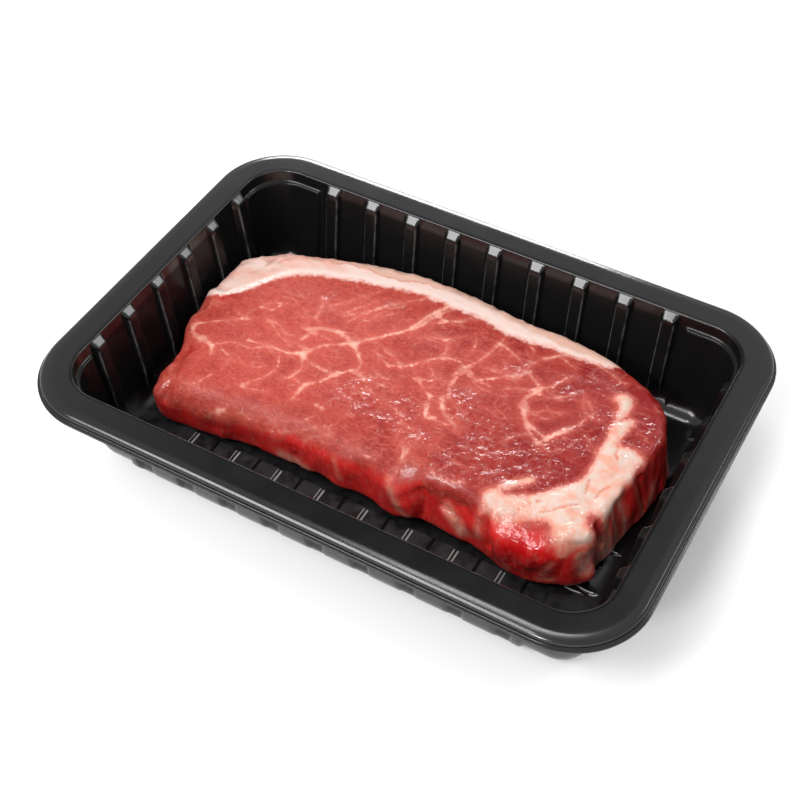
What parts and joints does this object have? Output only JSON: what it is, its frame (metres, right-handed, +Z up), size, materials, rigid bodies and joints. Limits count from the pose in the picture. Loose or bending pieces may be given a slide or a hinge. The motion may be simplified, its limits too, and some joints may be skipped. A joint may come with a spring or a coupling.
{
  "type": "meat tray with raw steak",
  "caption": "Open black plastic meat tray with ribbed walls and a wide flange, holding one raw marbled striploin steak with a fat cap along its back edge.",
  "frame": {"origin": "middle of the tray's footprint, on the surface that it stands on", "axes": "+X along the tray's long side towards the steak's right end, +Y towards the steak's fat edge, +Z up"},
  "size_m": [0.2326, 0.1626, 0.042],
  "materials": {
    "tray_plastic": "black, glossy inside, slightly satin on the flange",
    "lean_meat": "wet raw beef with pale marbling",
    "fat": "moist cream-pink fat"
  },
  "bodies": {
    "root": {"tray": "tray_plastic", "steak_lean": "lean_meat", "steak_fat_cap": "fat"}
  },
  "joints": []
}
